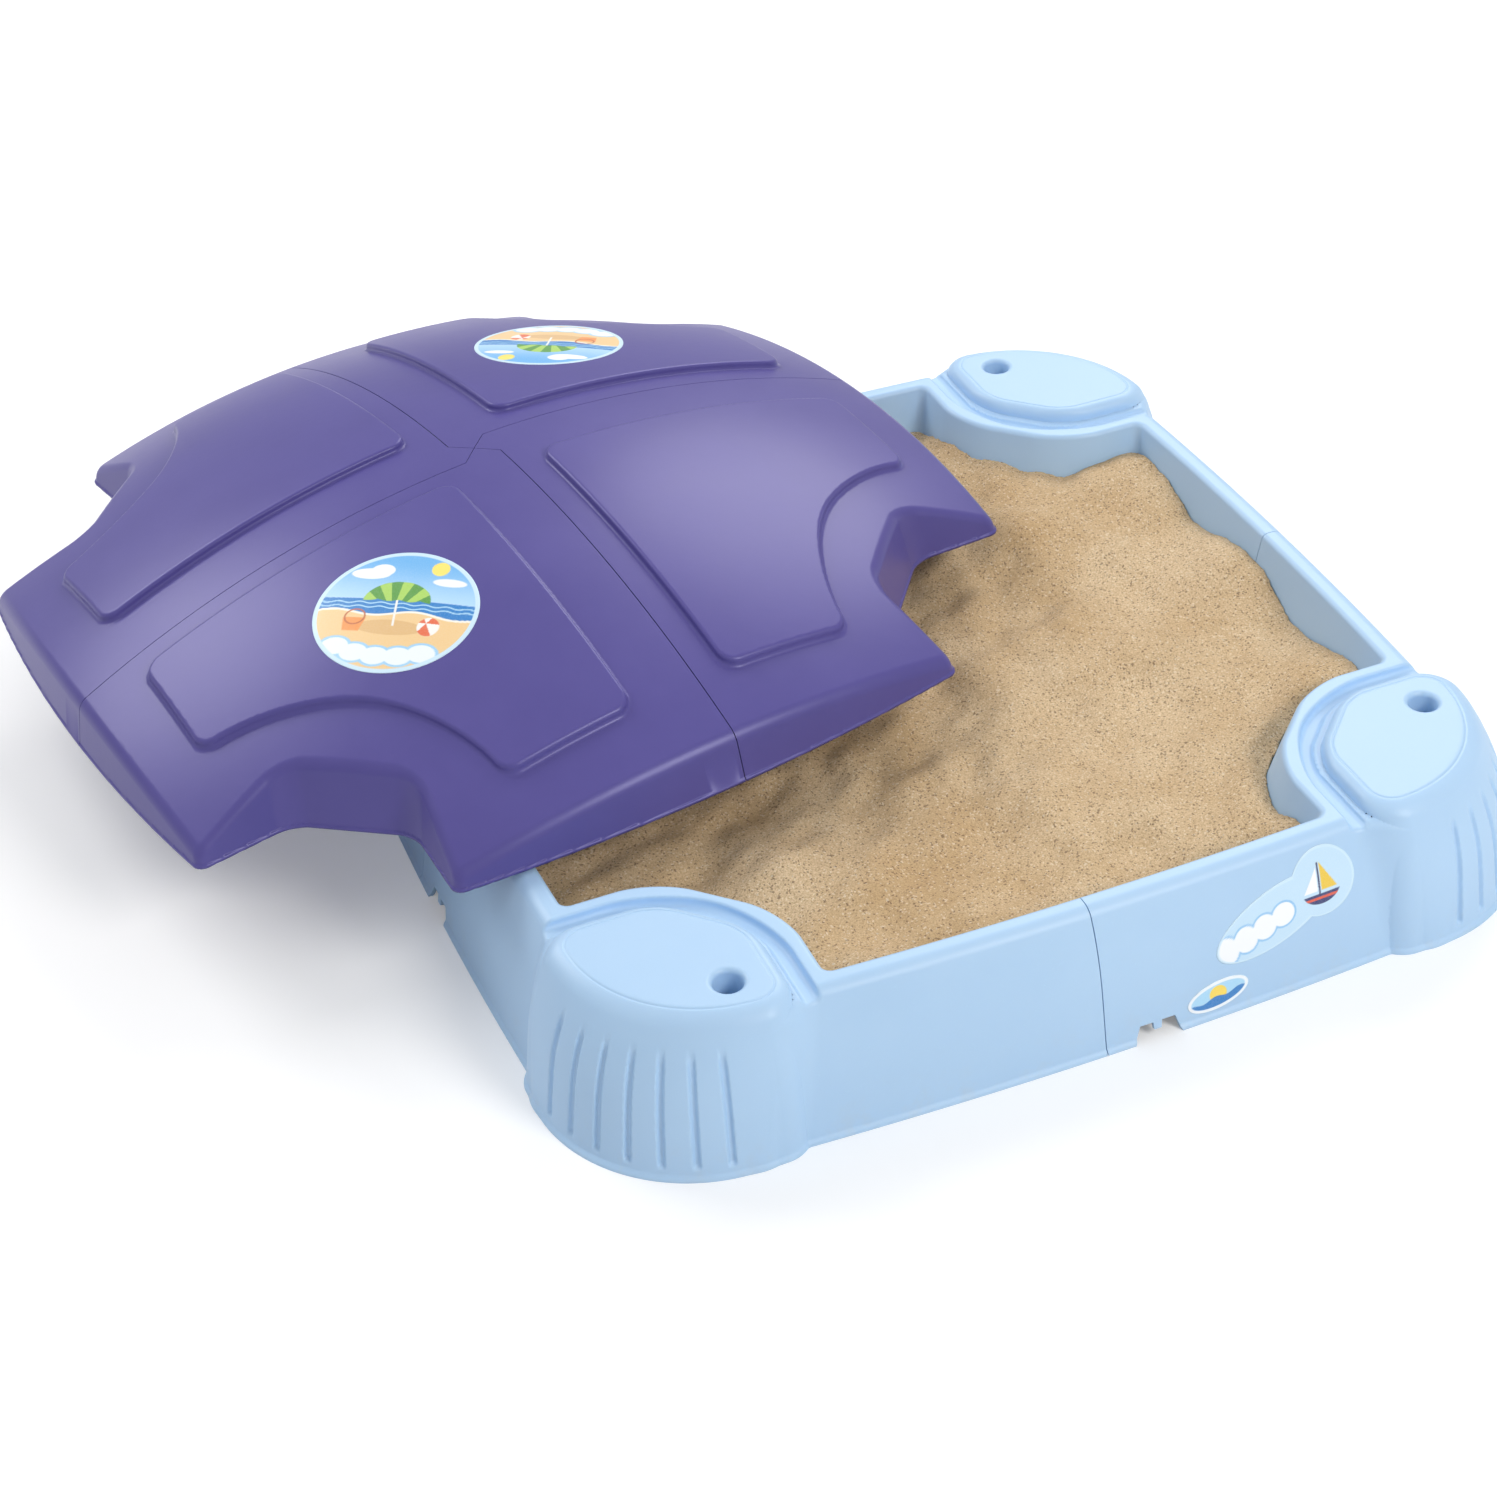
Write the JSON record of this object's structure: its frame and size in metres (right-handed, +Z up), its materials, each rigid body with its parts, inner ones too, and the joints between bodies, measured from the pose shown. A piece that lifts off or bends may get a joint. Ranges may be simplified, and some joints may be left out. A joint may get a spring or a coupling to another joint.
{
  "type": "sandbox with cover",
  "caption": "Square play sandbox with hollow walls, raised corner seats and sand, and a loose domed cover laid across its back-left part.",
  "frame": {"origin": "on the ground under the middle of the tray", "axes": "+Z up, front wall faces -Y, right wall faces +X"},
  "size_m": [1.3056, 1.2883, 0.2934],
  "materials": {
    "tray_plastic": "satin moulded polyethylene, light blue",
    "lid_plastic": "satin moulded polyethylene, purple",
    "joiner_plastic": "plain grey",
    "sand": "loose grains",
    "sticker_film": "printed film",
    "screw_steel": "plain"
  },
  "bodies": {
    "tray": {"base_quadrant_front": "tray_plastic", "base_quadrant_right": "tray_plastic", "base_quadrant_back": "tray_plastic", "base_quadrant_left": "tray_plastic", "wall_joiner_front": "joiner_plastic", "wall_joiner_right": "joiner_plastic", "wall_joiner_back": "joiner_plastic", "wall_joiner_left": "joiner_plastic", "play_sand": "sand", "wall_sticker_scene": "sticker_film", "wall_sticker_badge": "sticker_film"},
    "lid": {"lid_quadrant_front": "lid_plastic", "lid_quadrant_right": "lid_plastic", "lid_quadrant_back": "lid_plastic", "lid_quadrant_left": "lid_plastic", "lid_strap_front": "joiner_plastic", "lid_strap_right": "joiner_plastic", "lid_strap_back": "joiner_plastic", "lid_strap_left": "joiner_plastic", "lid_hub": "joiner_plastic", "lid_screws": "screw_steel", "lid_sticker_front": "sticker_film", "lid_sticker_back": "sticker_film"}
  },
  "joints": [
    {"name": "lid_lift", "type": "slide", "parent": "tray", "child": "lid", "axis": [0, 0, 1], "range_m": [0, 0.6]}
  ]
}
